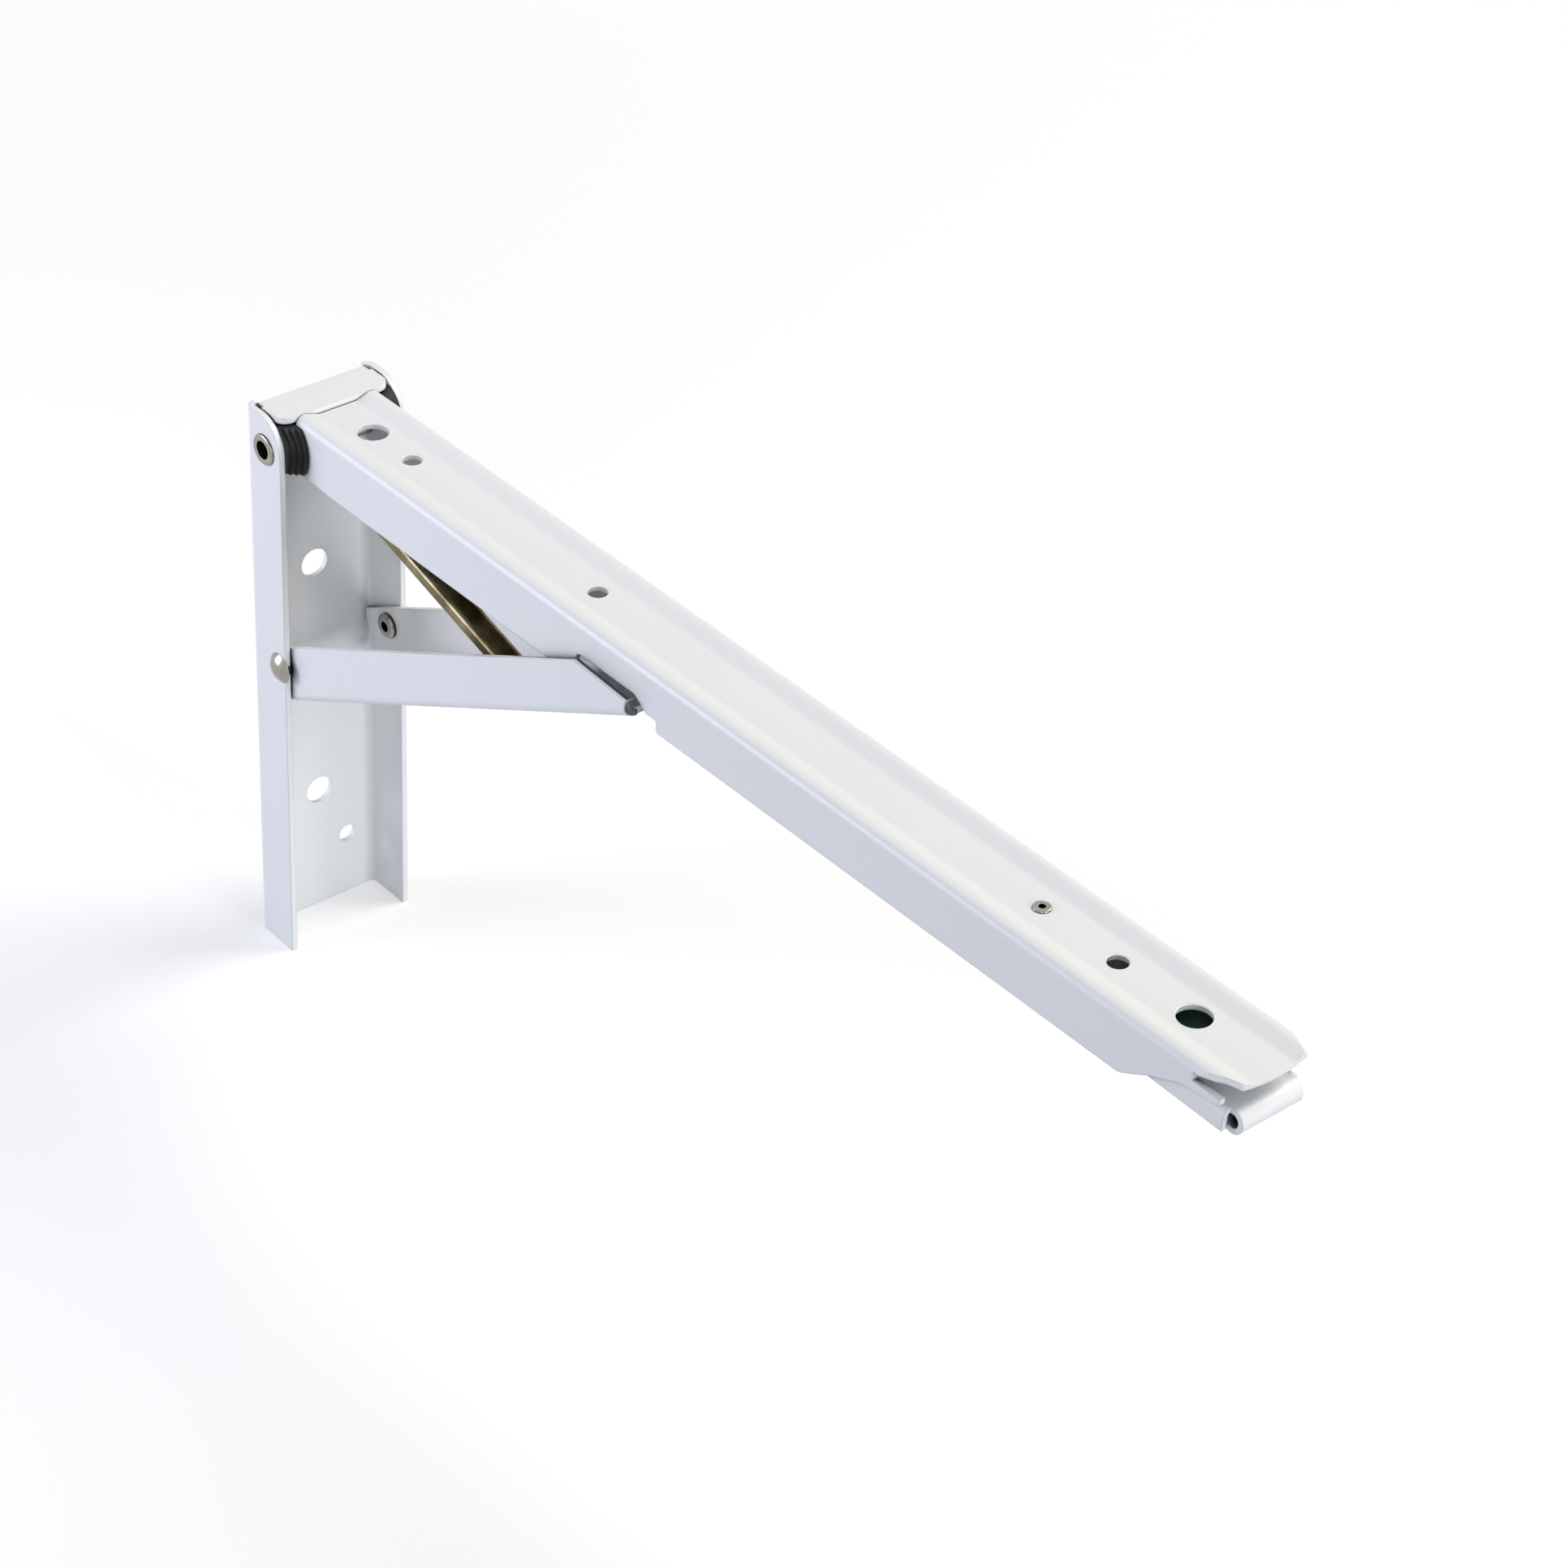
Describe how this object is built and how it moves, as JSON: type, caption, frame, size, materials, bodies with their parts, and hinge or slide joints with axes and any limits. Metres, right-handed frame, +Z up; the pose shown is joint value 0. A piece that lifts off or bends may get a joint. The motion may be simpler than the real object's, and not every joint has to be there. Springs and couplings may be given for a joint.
{
  "type": "drop leaf bracket",
  "caption": "Folding wall bracket: an arm held level by a brace that latches under it, and let down by pressing the release lever under its tip.",
  "frame": {"origin": "on the wall face of the wall plate, midway between its two large screw holes", "axes": "+X out from the wall along the level arm, +Y across the width, +Z up"},
  "size_m": [0.3007, 0.0368, 0.1434],
  "materials": {
    "white_powder_coat": "satin white powder coat",
    "plated_steel": "bright zinc plate",
    "yellow_zinc": "yellow passivated zinc plate",
    "black_nylon": "moulded black nylon",
    "dark_rubber": "moulded dark rubber",
    "spring_steel": "plain spring wire"
  },
  "bodies": {
    "wall_body": {"wall_plate": "white_powder_coat", "hinge_pin": "plated_steel", "link_collar_near": "plated_steel", "link_collar_far": "plated_steel", "hinge_spacer_near": "black_nylon", "hinge_spacer_far": "black_nylon", "brace_rivet_near": "plated_steel", "brace_rivet_far": "plated_steel"},
    "arm_body": {"support_arm": "white_powder_coat", "lever_bracket": "yellow_zinc", "lever_pin": "plated_steel", "lever_eyelet": "plated_steel", "lever_spring": "spring_steel"},
    "brace_body": {"brace": "white_powder_coat"},
    "link_body": {"stay_link": "yellow_zinc"},
    "lever_body": {"release_lever": "white_powder_coat", "lever_pad": "dark_rubber"}
  },
  "joints": [
    {"name": "arm_fold", "type": "hinge", "parent": "wall_body", "child": "arm_body", "pos_m": [0.0075, 0, 0.07045], "axis": [0, 1, 0], "range_deg": [0, 88]},
    {"name": "brace_fold", "type": "hinge", "parent": "wall_body", "child": "brace_body", "pos_m": [0.0113, 0, 0.01485], "axis": [0, 1, 0], "range_deg": [0, 117.05]},
    {"name": "link_fold", "type": "hinge", "parent": "wall_body", "child": "link_body", "pos_m": [0.0075, 0, 0.07045], "axis": [0, 1, 0], "range_deg": [0, 72.05]},
    {"name": "lever_press", "type": "hinge", "parent": "arm_body", "child": "lever_body", "pos_m": [0.239, 0, 0.07105], "axis": [0, -1, 0], "range_deg": [0, 3.6], "stiffness_Nm_per_rad": 0.6, "deforming": ["lever_spring"]}
  ],
  "couplings": [
    {"joint": "brace_fold", "follows": "arm_fold", "ratio": 1.3295},
    {"joint": "link_fold", "follows": "arm_fold", "ratio": 0.81818}
  ]
}
